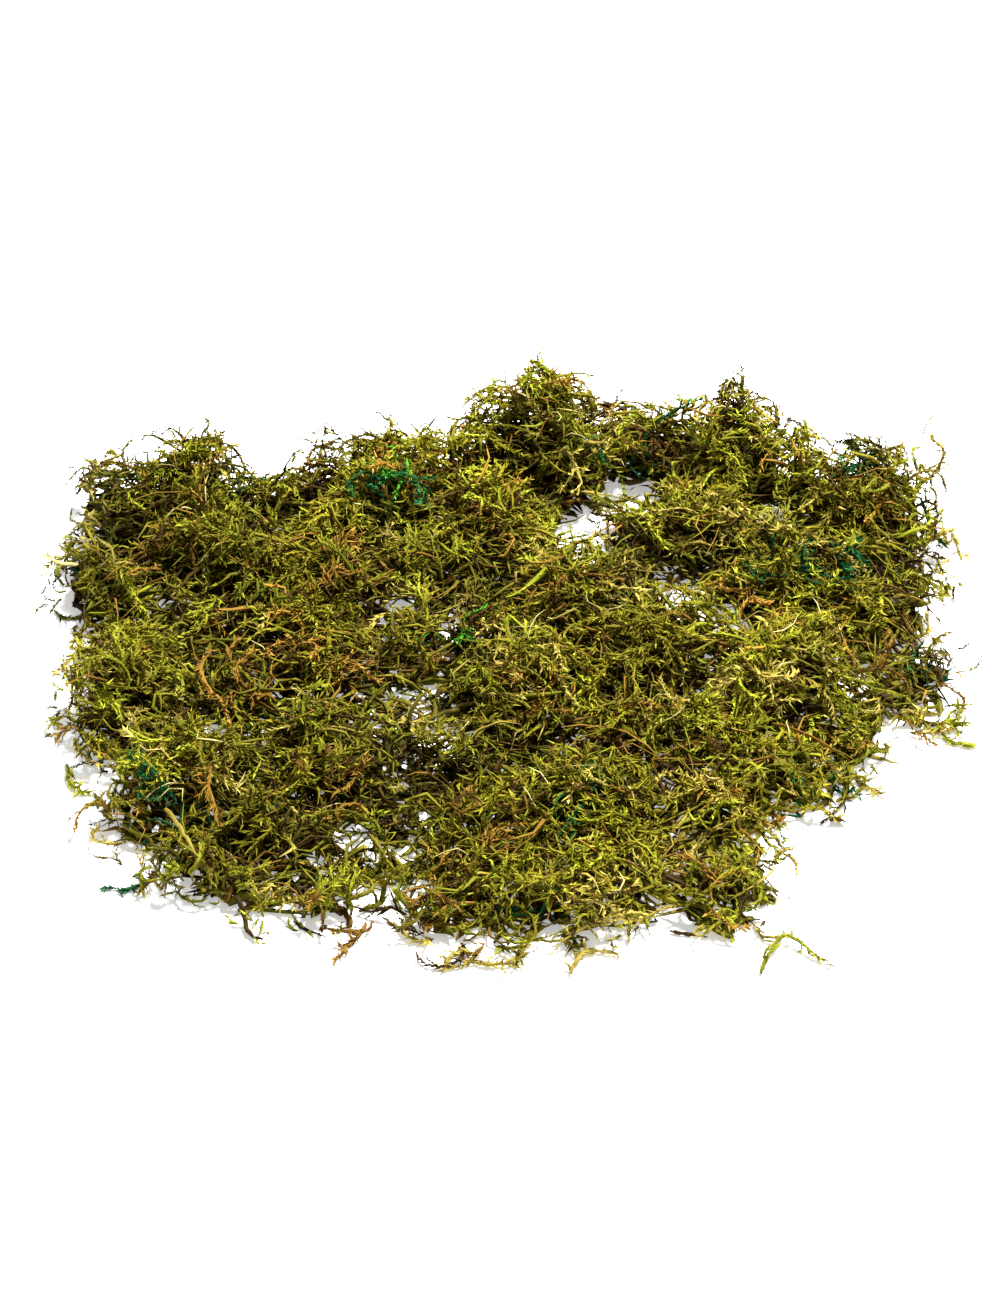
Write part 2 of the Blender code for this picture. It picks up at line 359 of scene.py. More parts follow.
Dyed = namedtuple("Dyed", "x y reach share family")
DYED_PATCHES = (
    Dyed(-27, 62, 5, 0.95, "bright_green"),
    Dyed(-30, 58, 8, 0.3, "dark_green"),
    Dyed(40, 84, 8, 0.25, "dark_green"),
    Dyed(82, 22, 10, 0.45, "dark_green"),
    Dyed(104, 62, 7, 0.45, "dark_green"),
    Dyed(118, -14, 5, 0.8, "dark_green"),
    Dyed(-84, -76, 7, 0.6, "dark_green"),
    Dyed(-70, -40, 5, 0.4, "dark_green"),
    Dyed(-74, 66, 5, 0.5, "dark_green"),
    Dyed(-120, 34, 6, 0.6, "dark_green"),
    Dyed(-14, -4, 4, 0.7, "bright_green"),
    Dyed(42, 92, 3, 0.5, "bright_green"),
    Dyed(10, -112, 4, 0.5, "dark_green"),
    Dyed(22, -70, 6, 0.5, "dark_green"),
)


def layout_place(x, y):
    """A place in the CAD's layout, in millimetres, as a place in the shared frame, in metres."""
    return np.array((x - BOX_MIDDLE[0], y - BOX_MIDDLE[1], 0.0)) * MM


def choose_family(mat, rng, x, y, level):
    """Each shoot's colour family: mostly brown when deep, greener or dyed where the clump is."""
    count = len(x)
    pick = 0.7 * rng.random(count) + 0.3 * read(mat, mat.hue, x, y)
    surface = np.searchsorted(np.cumsum(SURFACE_SHARES), pick)
    deep = np.searchsorted(np.cumsum(DEEP_SHARES), pick)
    is_deep = rng.random(count) > level**1.3
    family = np.where(is_deep, deep, surface)
    for patch in DYED_PATCHES:
        middle = layout_place(patch.x, patch.y)
        distance = np.hypot(x - middle[0], y - middle[1]) / (patch.reach * MM)
        dyed = rng.random(count) < patch.share * np.exp(-distance * distance)
        family = np.where(dyed, FAMILIES.index(patch.family), family)
    return np.minimum(family, len(FAMILIES) - 1)


def choose_shade(rng, level, tone, spread=1.15):
    """Each shoot's brightness step, darker when it lies deep: partly the darker dead lower shoots, partly
    painted shade.
    """
    # painted shade deepens with depth; the tone adds its random tone and its painted shade and light
    middle = 0.2 + 4.3 * level**1.5 + tone * np.clip(level, 0.3, 1)
    return np.clip(np.round(rng.normal(middle, spread)), 0, SHADES - 1)


# ---------------------------------------------------------------- growing the shoots' paths

FLOOR = 0.7 * MM  # no stem or side shoot of the mat runs lower
MOST_STRAY = 9 * MM
START_PITCH = 0.35
PITCH_SPREAD = 0.4
HEADING_WANDER = 0.26
PITCH_WANDER = 0.12
PITCH_FOLLOW = 0.55  # how quickly a stem turns towards the height that it wants
LOOK_AHEAD = 2.2  # in steps
STEEPEST = 1.2

Strands = namedtuple("Strands", "points half_width family shade leafy dense owner")


def unit(vectors):
    return vectors / np.maximum(np.linalg.norm(vectors, axis=-1, keepdims=True), 1e-9)


def turned(vectors, axes, angles):
    """The vectors turned round unit axes (Rodrigues' formula)."""
    c = np.cos(angles)[:, None]
    s = np.sin(angles)[:, None]
    dot = np.sum(vectors * axes, axis=1, keepdims=True)
    return vectors * c + np.cross(axes, vectors) * s + axes * dot * (1 - c)


def grow_stems(mat, rng, root, heading, level, length, lift, turn, steps):
    """Stems that creep along the mat at their own level, curl sideways and lift their tips."""
    x, y, z = root.T.copy()
    pitch = rng.normal(START_PITCH, PITCH_SPREAD, len(x))
    step = length / steps
    points = [np.stack([x, y, z], axis=1)]
    for k in range(steps):
        s = (k + 1) / steps
        heading = heading + turn * step + rng.normal(0, HEADING_WANDER, len(x))
        surface = read(mat, mat.height, x, y)
        wanted = np.maximum(level * surface + lift * s * s, FLOOR)
        climb = np.arctan((wanted - z) / (LOOK_AHEAD * step))
        wander = rng.normal(0, PITCH_WANDER, len(x))
        pitch = pitch + PITCH_FOLLOW * (np.clip(climb, -STEEPEST, STEEPEST) - pitch) + wander
        x = x + step * np.cos(pitch) * np.cos(heading)
        y = y + step * np.cos(pitch) * np.sin(heading)
        z = np.maximum(z + step * np.sin(pitch), FLOOR)
        points.append(np.stack([x, y, z], axis=1))
    return np.stack(points, axis=1)


def grow_branchlets(rng, stems, per_stem, length, steps, open_angle):
    """Side shoots that leave a stem left and right in turn, and curl over towards its tip."""
    count, stem_points = stems.shape[:2]
    place = (np.arange(per_stem) + rng.random((count, per_stem)) * 0.6) / per_stem
    place = (0.08 + 0.9 * place) * (stem_points - 1)
    before = np.minimum(place.astype(int), stem_points - 2)
    part = (place - before)[..., None]
    rows = np.arange(count)[:, None]
    start = stems[rows, before] * (1 - part) + stems[rows, before + 1] * part
    forward = unit(stems[rows, before + 1] - stems[rows, before]).reshape(-1, 3)
    start = start.reshape(-1, 3)
    roll = np.repeat(rng.normal(0, 0.5, count), per_stem) + rng.normal(0, 0.35, count * per_stem)
    upright = unit(np.array((0.0, 0.0, 1.0)) - forward * forward[:, 2:3])
    upright = turned(upright, forward, roll)
    side = np.where(np.arange(count * per_stem) % 2 == 0, 1.0, -1.0)
    angle = side * rng.normal(open_angle, 0.22, len(side))
    way = turned(forward, upright, angle)
    curl = rng.normal(0.3, 0.36, len(side))
    nod = rng.normal(-0.04, 0.3, len(side))
    taper = 1.0 - 0.45 * (place / (stem_points - 1)).reshape(-1)
    size = np.repeat(length, per_stem) * taper * rng.uniform(0.6, 1.25, len(side))
    step = (size / steps)[:, None]
    points = [start]
    for _ in range(steps):
        way = turned(way, upright, -side * curl)
        way = turned(way, unit(np.cross(way, upright)), nod)
        following = points[-1] + way * step
        following[:, 2] = np.maximum(following[:, 2], FLOOR)
        points.append(following)
    return np.stack(points, axis=1)


def widths(rng, count, points, half_width):
    """Half widths along each strand: full in the middle, fine at the tip, with uneven beads of leaves."""
    s = np.linspace(0, 1, points)
    outline = np.minimum(1.0, 0.6 + 2.0 * s) * np.minimum(1.0, 0.12 + 1.9 * (1 - s))
    beads = rng.uniform(0.75, 1.25, (count, points))
    return half_width[:, None] * outline * beads


def scatter_roots(mat, rng, count, layer):
    """Places for stems, more of them where the mat is thick and steep, or only along its rim."""
    steepness = np.hypot(*np.gradient(mat.height, CELL))
    low_share = 0.4 if layer.leafy else 0.3
    weight = mat.cover * (low_share + mat.height / (15 * MM)) * np.hypot(1, steepness)
    if layer.dense:
        weight = weight * np.clip(2.0 * mat.clump, 0.25, 1.4)
    weight = mat.rim if layer.at_rim else weight * (mat.inside > layer.set_back)
    weight = (weight / weight.sum()).ravel()
    cells = rng.choice(len(weight), count, p=weight)
    i, j = np.unravel_index(cells, mat.height.shape)
    x = mat.low[0] + (i + rng.uniform(-0.5, 0.5, count)) * CELL
    y = mat.low[1] + (j + rng.uniform(-0.5, 0.5, count)) * CELL
    return x, y, mat.owner[i, j]


def kept_near(mat, rng, strands, stray):
    """Only the strands that stay over the mat, or stray past its edge by no more than a few millimetres."""
    points = strands.points
    out = read(mat, mat.outside, points[..., 0], points[..., 1]).max(axis=1)
    allowed = stray * (0.5 + rng.exponential(0.6, len(points)))
    near = out < np.minimum(allowed, MOST_STRAY)
    return Strands(*(field[near] for field in strands))


Layer = namedtuple(
    "Layer",
    "count length branches branch_length half_width top depth leafy dense stray set_back at_rim shares",
    defaults=(0.0, False, None),
)
# the deepest layers: dark partly as dead lower shoots are, and partly as painted shade between the shoots
# above them
LITTER = Layer(7600, 10 * MM, 0, 0.0, 1.5 * MM, 0.45, 0.42, 0.0, 0.0, 0.3 * MM, 3.5 * MM)
THATCH = Layer(8600, 14 * MM, 0, 0.0, 0.6 * MM, 0.84, 0.6, 0.0, 0.0, 0.5 * MM, 2.0 * MM)
UNDERGROWTH = Layer(1150, 14 * MM, 4, 4.8 * MM, 0.52 * MM, 0.95, 0.5, 1.0, 0.5, 3.0 * MM)
CANOPY = Layer(1250, 15.5 * MM, 6, 4.8 * MM, 0.38 * MM, 1.08, 0.24, 1.0, 1.0, 4.5 * MM)
ROPES = Layer(380, 15 * MM, 0, 0.0, 0.62 * MM, 1.05, 0.2, 0.95, 1.0, 4.0 * MM)
FRINGE_SHARES = (0.06, 0.14, 0.3, 0.25, 0.24, 0.01, 0, 0)
FRINGE = Layer(200, 14 * MM, 5, 5.0 * MM, 0.5 * MM, 0.9, 0.8, 1.0, 1.0, 8.0 * MM, 0.0, True, FRINGE_SHARES)
BARE_SHARES = (0.25, 0.65, 0.1, 0, 0, 0, 0, 0)
STRAW_SHARES = (0, 0, 0, 0, 0, 0, 0, 1.0)
BARE_STEMS = Layer(300, 17 * MM, 0, 0.0, 0.34 * MM, 1.15, 0.2, 0.0, 0.0, 6.0 * MM, 0.0, False, BARE_SHARES)
STRAWS = Layer(110, 9 * MM, 0, 0.0, 0.24 * MM, 1.2, 0.2, 0.0, 0.0, 4.0 * MM, 0.0, False, STRAW_SHARES)
TUFT_TONES = {
    "moss_olive": "olive",
    "moss_golden": "golden",
    "moss_brown": "dark_brown",
    "moss_dark_green": "olive",
}


def grow_layer(mat, rng, layer, tones):
    """Creeping stems at the layer's depth, each with side shoots of its own colour."""
    count = layer.count
    x, y, owner = scatter_roots(mat, rng, count, layer)
    level = layer.top - layer.depth * rng.random(count) ** 1.3
    surface = read(mat, mat.height, x, y)
    z = np.maximum(level * surface - 1.5 * MM, FLOOR)
    flow = mat.outward if layer.at_rim else mat.flow
    across = read(mat, flow[0], x, y)
    along = read(mat, flow[1], x, y)
    heading = np.arctan2(1.5 * along, across) + rng.normal(0, 0.6, count)
    heading += np.where(rng.random(count) < 0.25, rng.uniform(-math.pi, math.pi, count), 0.0)
    length = layer.length * rng.uniform(0.55, 1.4, count)
    tall = np.clip((surface - 18 * MM) / (12 * MM), 0, 1)
    lift = rng.exponential(2.0 * MM, count) * (0.6 + 1.1 * tall) * (level > 0.7)
    turn = rng.normal(0, 0.18, count) / MM
    root = np.stack([x, y, z], axis=1)
    steps = 6 if layer.branches else 4 if layer.leafy else 3
    stems = grow_stems(mat, rng, root, heading, level, length, lift, turn, steps)
    # how exposed each shoot is: deep shoots get painted shade, while those near the top, on the rim and in
    # thin parts are spared it
    rim_near = np.clip(1 - read(mat, mat.inside, x, y) / (7 * MM), 0, 1)
    thin = np.clip(1.3 - surface / (12 * MM), 0, 0.85)
    seen = np.clip(np.maximum(level, np.maximum(0.95 * rim_near, thin)), 0, 1)
    if layer.shares:
        family = rng.choice(len(FAMILIES), count, p=layer.shares)
    else:
        family = choose_family(mat, rng, x, y, seen)
        own = np.array([FAMILIES.index(TUFT_TONES[tone]) for tone in tones])[owner]
        family = np.where(rng.random(count) < 0.16 * seen, own, family)
    # the rim layer is set a little brighter still: painted light on the mat's edge
    shade = choose_shade(rng, seen + 0.12 * layer.at_rim, read(mat, mat.tone, x, y))
    half_width = layer.half_width * rng.uniform(0.6, 1.4, count)
    leafy = layer.leafy * rng.uniform(0.6, 1.15, count)
    stem_widths = widths(rng, count, steps + 1, half_width)
    dense = np.full(count, layer.dense)
    strands = Strands(stems, stem_widths, family, shade, leafy, dense, owner)
    yield kept_near(mat, rng, strands, layer.stray)
    if not layer.branches:
        return
    branch = layer.branch_length * rng.uniform(0.6, 1.4, count)
    branchlets = grow_branchlets(rng, stems, layer.branches, branch, 2, 0.62)
    many = count * layer.branches
    branch_width = np.repeat(half_width, layer.branches) * rng.uniform(0.6, 0.95, many)
    branch_shade = np.repeat(shade, layer.branches) + rng.integers(-1, 2, many)
    strands = Strands(
        branchlets,
        widths(rng, many, 3, branch_width),
        np.repeat(family, layer.branches),
        np.clip(branch_shade, 0, SHADES - 1),
        np.repeat(leafy, layer.branches) * 0.85,
        np.repeat(dense, layer.branches),
        np.repeat(owner, layer.branches),
    )
    yield kept_near(mat, rng, strands, layer.stray)


# ---------------------------------------------------------------- node helpers


class Value:
    """A node socket that can be used in arithmetic."""

    def __init__(self, maker, socket):
        self.maker = maker
        self.socket = socket

    def _math(self, operation, first, second=None):
        values = {0: first} if second is None else {0: first, 1: second}
        return self.maker.add("ShaderNodeMath", {"operation": operation}, values)

    def __add__(self, other):
        return self._math("ADD", self, other)

    __radd__ = __add__

    def __sub__(self, other):
        return self._math("SUBTRACT", self, other)

    def __mul__(self, other):
        return self._math("MULTIPLY", self, other)

    __rmul__ = __mul__

    def __truediv__(self, other):
        return self._math("DIVIDE", self, other)

    def floor(self):
        return self._math("FLOOR", self)

    def above(self, other):
        return self._math("GREATER_THAN", self, other)


class NodeMaker:
    """Adds nodes to one tree: a type, its settings, then its sockets' values or links."""

    def __init__(self, tree):
        self.tree = tree

    def add(self, kind, settings=None, values=None, output=0):
        node = self.tree.nodes.new(kind)
        for name, setting in (settings or {}).items():
            setattr(node, name, setting)
        for place, value in (values or {}).items():
            if isinstance(value, Value):
                self.tree.links.new(value.socket, node.inputs[place])
            else:
                node.inputs[place].default_value = value
        return Value(self, node.outputs[output])

    def other(self, value, output):
        """Another output of the node that a value comes from."""
        return Value(self, value.socket.node.outputs[output])


# ---------------------------------------------------------------- Geometry Nodes: strands to leafy shoots

UV_NAME = "OFBake"
SHOOT_INPUTS = (
    ("Leaf Length", "NodeSocketFloat"),
    ("Leaf Width", "NodeSocketFloat"),
    ("Leaf Spacing", "NodeSocketFloat"),
    ("Leaf Spread", "NodeSocketFloat"),
    ("Core Sides", "NodeSocketInt"),
    ("Core Flatness", "NodeSocketFloat"),
    ("Seed", "NodeSocketInt"),
    ("Finish", "NodeSocketMaterial"),
)


def named(maker, name, kind="FLOAT"):
    return maker.add("GeometryNodeInputNamedAttribute", {"data_type": kind}, {"Name": name}, "Attribute")


def build_shoot_tree():
    """Strands become closed tapering cores, with pointed leaves set round them."""
    tree = bpy.data.node_groups.new("leafy_shoots", "GeometryNodeTree")
    tree.interface.new_socket("Geometry", in_out="INPUT", socket_type="NodeSocketGeometry")
    for name, kind in SHOOT_INPUTS:
        tree.interface.new_socket(name, in_out="INPUT", socket_type=kind)
    tree.interface.new_socket("Geometry", in_out="OUTPUT", socket_type="NodeSocketGeometry")
    maker = NodeMaker(tree)
    given = maker.add("NodeGroupInput")
    leaf_length = maker.other(given, "Leaf Length")
    seed = maker.other(given, "Seed")

    curve = maker.add("GeometryNodeMeshToCurve", {}, {"Mesh": given})
    curve = maker.add("GeometryNodeSetCurveTilt", {}, {"Curve": curve, "Tilt": named(maker, "twist")})
    ring = {"Resolution": maker.other(given, "Core Sides"), "Radius": 1.0}
    section = maker.add("GeometryNodeCurvePrimitiveCircle", {"mode": "RADIUS"}, ring)
    flatness = maker.other(given, "Core Flatness")
    flattened = maker.add("ShaderNodeCombineXYZ", {}, {0: 1.0, 1: flatness, 2: 1.0})
    section = maker.add("GeometryNodeTransform", {}, {"Geometry": section, "Scale": flattened})
    core_values = {
        "Curve": curve,
        "Profile Curve": section,
        "Scale": named(maker, "half_width"),
        "Fill Caps": True,
    }
    core = maker.add("GeometryNodeCurveToMesh", {}, core_values)

    leaf = maker.add(
        "GeometryNodeMeshCone",
        {"fill_type": "NGON"},
        {"Vertices": 3, "Side Segments": 1, "Radius Top": 0.0, "Radius Bottom": 0.5, "Depth": 1.0},
    )
    height = maker.add("ShaderNodeSeparateXYZ", {}, {0: maker.add("GeometryNodeInputPosition")}, "Z")
    leaf = maker.add(
        "GeometryNodeStoreNamedAttribute",
        {"data_type": "FLOAT", "domain": "POINT"},
        {"Geometry": leaf, "Name": "tip", "Value": height},
    )

    spaced = maker.add(
        "GeometryNodeResampleCurve",
        {"mode": "LENGTH"},
        {"Curve": curve, "Length": maker.other(given, "Leaf Spacing")},
    )
    points = maker.add("GeometryNodeCurveToPoints", {"mode": "EVALUATED"}, {"Curve": spaced})
    way = maker.other(points, "Rotation")
    index = maker.add("GeometryNodeInputIndex")

    def between(least, most, offset):
        values = {2: least, 3: most, "Seed": seed + offset}
        return maker.add("FunctionNodeRandomValue", {"data_type": "FLOAT"}, values, 1)

    def turn(rotation, axis, angle):
        by = maker.add("FunctionNodeAxisAngleToRotation", {}, {"Axis": axis, "Angle": angle})
        values = {"Rotation": rotation, "Rotate By": by}
        return maker.add("FunctionNodeRotateRotation", {"rotation_space": "LOCAL"}, values)

    round_stem = index * math.pi + between(-0.9, 0.9, 1)
    way = turn(way, (0.0, 0.0, 1.0), round_stem)
    way = turn(way, (1.0, 0.0, 0.0), maker.other(given, "Leaf Spread") * between(0.5, 1.5, 2))
    size = between(0.65, 1.35, 3) * named(maker, "leafy")
    width = maker.other(given, "Leaf Width") * size
    scale = maker.add("ShaderNodeCombineXYZ", {}, {0: width, 1: width * 0.45, 2: leaf_length * size})
    values = {
        "Points": points,
        "Selection": named(maker, "dense").above(between(0.0, 1.0, 4)),
        "Instance": leaf,
        "Rotation": way,
        "Scale": scale,
    }
    leaves = maker.add("GeometryNodeInstanceOnPoints", {}, values)
    leaves = maker.add("GeometryNodeRealizeInstances", {}, {"Geometry": leaves})

    joined = maker.add("GeometryNodeJoinGeometry")
    for piece in (core, leaves):
        tree.links.new(piece.socket, joined.socket.node.inputs[0])
    tip = named(maker, "tip")
    u = (named(maker, "family") + 0.2 + 0.6 * tip) / len(FAMILIES)
    v = (named(maker, "shade") + 0.2 + 0.6 * named(maker, "along")) / SHADES
    uv = maker.add("ShaderNodeCombineXYZ", {}, {0: u, 1: v})
    done = maker.add(
        "GeometryNodeStoreNamedAttribute",
        {"data_type": "FLOAT2", "domain": "CORNER"},
        {"Geometry": joined, "Name": UV_NAME, "Value": uv},
    )
    for spare in ("half_width", "twist", "family", "shade", "along", "leafy", "dense", "tip"):
        done = maker.add("GeometryNodeRemoveAttribute", {}, {"Geometry": done, "Name": spare})
    values = {"Geometry": done, "Material": maker.other(given, "Finish")}
    done = maker.add("GeometryNodeSetMaterial", {}, values)
    out = tree.nodes.new("NodeGroupOutput")
    tree.links.new(done.socket, out.inputs[0])
    return tree


def strand_mesh(name, batches, rng):
    """One mesh of edge chains, with what each point needs to know stored on it."""
    coords = []
    edges = []
    fields = {"half_width": [], "twist": [], "family": [], "shade": [], "along": [], "leafy": [], "dense": []}
    first = 0
    for batch in batches:
        count, points = batch.points.shape[:2]
        if count == 0:
            continue
        coords.append(batch.points.reshape(-1, 3))
        starts = first + np.arange(count)[:, None] * points + np.arange(points - 1)[None, :]
        edges.append(np.stack([starts, starts + 1], axis=2).reshape(-1, 2))
        first_twist = rng.uniform(-1.2, 1.2, count)[:, None]
        added_twist = rng.normal(0, 1.0, count)[:, None]
        twist = first_twist + added_twist * np.linspace(0, 1, points)
        fields["half_width"].append(batch.half_width.ravel())
        fields["twist"].append(twist.ravel())
        fields["family"].append(np.repeat(batch.family, points))
        fields["shade"].append(np.repeat(batch.shade, points))
        start = rng.uniform(0, 0.35, count)[:, None]
        fields["along"].append((start + (1 - start) * np.linspace(0, 1, points)).ravel())
        fields["leafy"].append(np.repeat(batch.leafy, points))
        fields["dense"].append(np.repeat(batch.dense, points))
        first += count * points
    coords = np.concatenate(coords)
    edges = np.concatenate(edges)
    mesh = bpy.data.meshes.new(name)
    mesh.vertices.add(len(coords))
    mesh.vertices.foreach_set("co", coords.astype(np.float32).ravel())
    mesh.edges.add(len(edges))
    mesh.edges.foreach_set("vertices", edges.astype(np.int32).ravel())
    for field, parts in fields.items():
        attribute = mesh.attributes.new(field, "FLOAT", "POINT")
        attribute.data.foreach_set("value", np.concatenate(parts).astype(np.float32))
    return mesh


def dress(name, mesh, tree, settings):
    """Runs the tree on the strands and keeps the plain mesh that it makes."""
    holder = bpy.data.objects.new(name + "_strands", mesh)
    bpy.context.scene.collection.objects.link(holder)
    modifier = holder.modifiers.new("leafy_shoots", "NODES")
    modifier.node_group = tree
    sockets = {item.name: item.identifier for item in tree.interface.items_tree if item.in_out == "INPUT"}
    for label, value in settings.items():
        modifier[sockets[label]] = value
    graph = bpy.context.evaluated_depsgraph_get()
    made = bpy.data.meshes.new_from_object(holder.evaluated_get(graph))
    made.name = name
    bpy.data.objects.remove(holder)
    bpy.data.meshes.remove(mesh)
    piece = bpy.data.objects.new(name, made)
    bpy.context.scene.collection.objects.link(piece)
    return piece


# ---------------------------------------------------------------- finishes


def linear(value):
    """The sRGB curve undone, for one screen value from 0 to 255."""
    share = value / 255
    return share / 12.92 if value <= 10 else ((share + 0.055) / 1.055) ** 2.4


def from_screen(color):
    """A screen colour, 0 to 255, as the linear colour that a shader takes."""
    return tuple(linear(value) for value in color)


def color_ramp(maker, place, colors):
    """A ramp of flat steps, one for each colour family."""
    node = maker.tree.nodes.new("ShaderNodeValToRGB")
    ramp = node.color_ramp
    ramp.interpolation = "CONSTANT"
    for order, name in enumerate(FAMILIES):
        stop = ramp.elements[0] if order == 0 else ramp.elements.new(order / len(FAMILIES))
        stop.color = (*from_screen(colors[name]), 1.0)
    ramp.elements.remove(ramp.elements[-1])
    maker.tree.links.new(place.socket, node.inputs[0])
    return Value(maker, node.outputs["Color"])


def make_shoot_finish(name):
    """Dry leafy moss: its colour family, its brightness step, which carries painted shade and light, and
    lighter towards each tip.
    """
    material = bpy.data.materials.new(name)
    material.use_nodes = True
    tree = material.node_tree
    maker = NodeMaker(tree)
    shader = tree.nodes["Principled BSDF"]
    shader.inputs["Roughness"].default_value = 0.7
    shader.inputs["Specular IOR Level"].default_value = 0.06
    uv = maker.add("ShaderNodeUVMap", {"uv_map": UV_NAME})
    u = maker.add("ShaderNodeSeparateXYZ", {}, {0: uv}, "X") * len(FAMILIES)
    v = maker.add("ShaderNodeSeparateXYZ", {}, {0: uv}, "Y") * SHADES
    tip = (u - u.floor() - 0.2) / 0.6
    along = (v - v.floor() - 0.2) / 0.6
    place = (u.floor() + 0.5) / len(FAMILIES)
    root_color = color_ramp(maker, place, ROOT_COLORS)
    tip_color = color_ramp(maker, place, TIP_COLORS)
    blend = along * 0.55 + tip * 0.45
    mixed = maker.add(
        "ShaderNodeMix",
        {"data_type": "RGBA", "clamp_factor": True},
        {0: blend, 6: root_color, 7: tip_color},
        2,
    )
    # the brightness step: each shoot's own tone, with its painted shade and painted light
    bright = 0.2 + v.floor() * 0.178
    streaks = maker.add("ShaderNodeMapping", {"vector_type": "POINT"}, {"Vector": uv, "Scale": (30, 90, 1)})
    uneven = maker.add(
        "ShaderNodeTexNoise",
        {"noise_dimensions": "2D"},
        {"Vector": streaks, "Scale": 1.0, "Detail": 2.0, "Roughness": 0.6},
    )
    bright = bright * (0.65 + 0.7 * uneven)
    scaled = maker.add("ShaderNodeVectorMath", {"operation": "SCALE"}, {0: mixed, "Scale": bright})
    tree.links.new(scaled.socket, shader.inputs["Base Color"])
    return material


# ---------------------------------------------------------------- the studio

AIM = Vector(layout_place(0, 0))
CAMERA_DISTANCE = 0.80
CAMERA_ELEVATION = math.radians(38)
LENS = 80
SENSOR_WIDTH = 36
WORLD_STRENGTH = 0.34
KEY_PLACE = (0.30, 0.36, 0.87)  # from where the camera aims
KEY_SIZE = 0.22
KEY_POWER = 44.5
FLOOR_RINGS = ((5.0, 0.0), (5.6, 0.25), (6.0, 0.8), (6.1, 1.6))  # (reach, height) in metres
FLOOR_CORNERS = 48
FLOOR_GREY = 0.9
FLOOR_GLOW = 0.4


def look_at(thing, target):
    thing.rotation_euler = (target - thing.location).to_track_quat("-Z", "Y").to_euler()


def make_camera():
    camera = bpy.data.objects.new("camera", bpy.data.cameras.new("camera"))
    camera.data.lens = LENS
    camera.data.sensor_width = SENSOR_WIDTH
    camera.data.clip_start = 0.01
    bpy.context.scene.collection.objects.link(camera)
    away = Vector((0, -math.cos(CAMERA_ELEVATION), math.sin(CAMERA_ELEVATION)))
    camera.location = AIM + away * CAMERA_DISTANCE
    look_at(camera, AIM)
    bpy.context.scene.camera = camera


def make_light(name, place, size, power):
    """A round white lamp that faces the clump."""
    light = bpy.data.objects.new(name, bpy.data.lights.new(name, "AREA"))
    light.data.shape = "DISK"
    light.data.size = size
    light.data.energy = power
    bpy.context.scene.collection.objects.link(light)
    light.location = place
    look_at(light, AIM)


def make_floor():
    """A wide floor whose edge curves up all round, so that it lies behind the clump from every side."""
    points = [(0.0, 0.0, 0.0)]
    for reach, height in FLOOR_RINGS:
        for k in range(FLOOR_CORNERS):
            angle = math.tau * k / FLOOR_CORNERS
            points.append((reach * math.cos(angle), reach * math.sin(angle), height))
    faces = []
    for k in range(FLOOR_CORNERS):
        after = (k + 1) % FLOOR_CORNERS
        faces.append((0, 1 + k, 1 + after))
        for ring in range(len(FLOOR_RINGS) - 1):
            inner = 1 + ring * FLOOR_CORNERS
            outer = inner + FLOOR_CORNERS
            faces.append((inner + k, outer + k, outer + after, inner + after))
    mesh = bpy.data.meshes.new("floor")
    mesh.from_pydata(points, [], faces)
    material = bpy.data.materials.new("floor")
    material.use_nodes = True
    shader = material.node_tree.nodes["Principled BSDF"]
    shader.inputs["Base Color"].default_value = (FLOOR_GREY, FLOOR_GREY, FLOOR_GREY, 1)
    shader.inputs["Roughness"].default_value = 0.9
    shader.inputs["Specular IOR Level"].default_value = 0.1
    shader.inputs["Emission Color"].default_value = (1, 1, 1, 1)
    shader.inputs["Emission Strength"].default_value = FLOOR_GLOW
    mesh.materials.append(material)
    floor = bpy.data.objects.new("floor", mesh)
    bpy.context.scene.collection.objects.link(floor)


def make_studio():
    world = bpy.data.worlds.new("studio")
    bpy.context.scene.world = world
    world.use_nodes = True
    background = world.node_tree.nodes["Background"]
    background.inputs["Color"].default_value = (1, 1, 1, 1)
    background.inputs["Strength"].default_value = WORLD_STRENGTH
    bpy.context.scene.view_settings.view_transform = "Standard"
    make_light("key", AIM + Vector(KEY_PLACE), KEY_SIZE, KEY_POWER)
    make_floor()


# ---------------------------------------------------------------- putting it together

SHOOT_SETTINGS = {
    "Leaf Length": 2.1 * MM,
    "Leaf Width": 1.1 * MM,
    "Leaf Spacing": 0.74 * MM,
    "Leaf Spread": 0.6,
    "Core Sides": 3,
    "Core Flatness": 0.6,
    "Seed": 5,
}


def picked(strands, chosen):
    """Only the chosen strands."""
    return Strands(*(field[chosen] for field in strands))


LOWEST = 0.1 * MM  # what lies lower is squashed into the thin space that is left above the floor
SQUASH = 0.1
DEEPEST = 9 * LOWEST


def rest_on_floor(mesh):
    """Nothing goes below the surface that the clump lies on."""
    coords = np.empty(len(mesh.vertices) * 3, np.float32)
    mesh.vertices.foreach_get("co", coords)
    heights = coords[2::3]
    squashed = LOWEST + SQUASH * (heights - LOWEST).clip(-DEEPEST, 0)
    coords[2::3] = np.where(heights < LOWEST, squashed, heights)
    mesh.vertices.foreach_set("co", coords)


